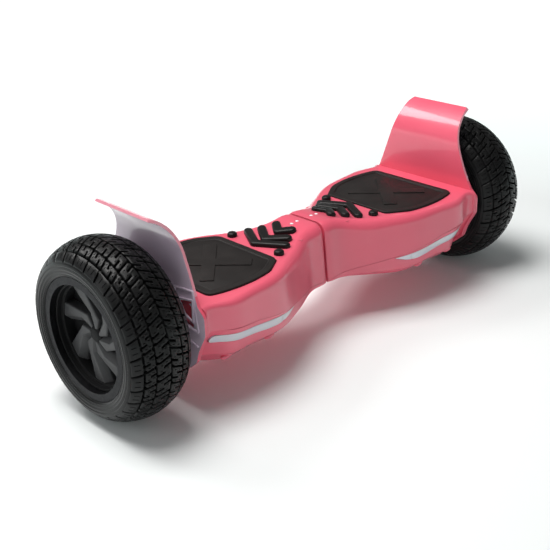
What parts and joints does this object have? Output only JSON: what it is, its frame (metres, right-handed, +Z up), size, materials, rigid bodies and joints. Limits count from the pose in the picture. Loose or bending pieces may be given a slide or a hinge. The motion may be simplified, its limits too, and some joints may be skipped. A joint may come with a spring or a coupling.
{
  "type": "self-balancing hoverboard",
  "caption": "Self-balancing board: foot decks on halves that turn against each other at a waist pivot, hub-motor wheels with all-terrain tyres, and a fender beside each.",
  "frame": {"origin": "on the floor, under the middle of the board, midway between the two halves", "axes": "+X along the wheel axle to the right half, -Y to the front with the light strips, +Z up"},
  "size_m": [0.701, 0.216, 0.2427],
  "materials": {
    "coral_paint": "gloss coral pink",
    "pad_rubber": "matte black-brown rubber",
    "tyre_rubber": "satin black",
    "black_alloy": "satin black coat",
    "spoke_plastic": "matte dark grey",
    "strip_lens": "frosted, pale grey",
    "indicator_white": "white",
    "cast_aluminium": "as cast",
    "zinc_steel": "zinc plated",
    "core_steel": "laminated core",
    "magnet_plate": "nickel plated",
    "copper_wire": "enamelled copper",
    "bronze": "sintered bronze",
    "battery_wrap": "shrink wrap over steel cells",
    "circuit_board": "solder mask green",
    "black_plastic": "matte black"
  },
  "bodies": {
    "left_half": {"left_upper_shell": "coral_paint", "left_lower_shell": "coral_paint", "left_light_lens": "strip_lens", "left_light_board": "circuit_board", "left_grip_bars": "pad_rubber", "left_indicator_lenses": "indicator_white", "left_fender": "coral_paint", "left_frame": "cast_aluminium", "left_axle_clamp": "cast_aluminium", "left_clamp_bolts": "zinc_steel", "left_shell_screws": "zinc_steel", "left_gyro_board": "circuit_board", "left_axle": "zinc_steel", "left_stator": "core_steel", "left_stator_coils": "copper_wire", "left_motor_lead": "black_plastic", "pivot_shaft": "zinc_steel", "pivot_circlip": "zinc_steel", "battery_pack": "battery_wrap", "battery_straps": "zinc_steel"},
    "right_half": {"right_upper_shell": "coral_paint", "right_lower_shell": "coral_paint", "right_light_lens": "strip_lens", "right_light_board": "circuit_board", "right_grip_bars": "pad_rubber", "right_indicator_lenses": "indicator_white", "right_fender": "coral_paint", "right_frame": "cast_aluminium", "right_axle_clamp": "cast_aluminium", "right_clamp_bolts": "zinc_steel", "right_shell_screws": "zinc_steel", "right_gyro_board": "circuit_board", "right_axle": "zinc_steel", "right_stator": "core_steel", "right_stator_coils": "copper_wire", "right_motor_lead": "black_plastic", "pivot_bushes": "bronze", "main_board": "circuit_board", "charge_port": "black_plastic", "power_switch": "black_plastic"},
    "left_wheel": {"left_rim": "black_alloy", "left_tyre": "tyre_rubber", "left_rotor_ring": "zinc_steel", "left_magnets": "magnet_plate", "left_wheel_bearings": "zinc_steel", "left_motor_cover": "cast_aluminium", "left_cover_screws": "zinc_steel", "left_spoke_cover": "spoke_plastic"},
    "right_wheel": {"right_rim": "black_alloy", "right_tyre": "tyre_rubber", "right_rotor_ring": "zinc_steel", "right_magnets": "magnet_plate", "right_wheel_bearings": "zinc_steel", "right_motor_cover": "cast_aluminium", "right_cover_screws": "zinc_steel", "right_spoke_cover": "spoke_plastic"},
    "left_foot_pad": {"left_foot_pad": "pad_rubber"},
    "right_foot_pad": {"right_foot_pad": "pad_rubber"},
    "power_button": {"power_button": "black_plastic"},
    "port_cap": {"port_cap": "pad_rubber"}
  },
  "joints": [
    {"name": "waist_pivot", "type": "hinge", "parent": "left_half", "child": "right_half", "pos_m": [0, 0, 0.108], "axis": [1, 0, 0], "range_deg": [-10, 10]},
    {"name": "left_wheel_spin", "type": "hinge", "parent": "left_half", "child": "left_wheel", "pos_m": [-0.309, 0, 0.108], "axis": [1, 0, 0], "continuous": true},
    {"name": "right_wheel_spin", "type": "hinge", "parent": "right_half", "child": "right_wheel", "pos_m": [0.309, 0, 0.108], "axis": [1, 0, 0], "continuous": true},
    {"name": "left_foot_pad_press", "type": "slide", "parent": "left_half", "child": "left_foot_pad", "axis": [0, 0, -1], "range_m": [0, 0.0012], "stiffness_N_per_m": 8000},
    {"name": "right_foot_pad_press", "type": "slide", "parent": "right_half", "child": "right_foot_pad", "axis": [0, 0, -1], "range_m": [0, 0.0012], "stiffness_N_per_m": 8000},
    {"name": "power_button_press", "type": "slide", "parent": "right_half", "child": "power_button", "axis": [0, -1, 0], "range_m": [0, 0.001], "stiffness_N_per_m": 600},
    {"name": "port_cap_hinge", "type": "hinge", "parent": "right_half", "child": "port_cap", "pos_m": [0.178, 0.0978, 0.1295], "axis": [1, 0, 0], "range_deg": [0, 110]}
  ]
}
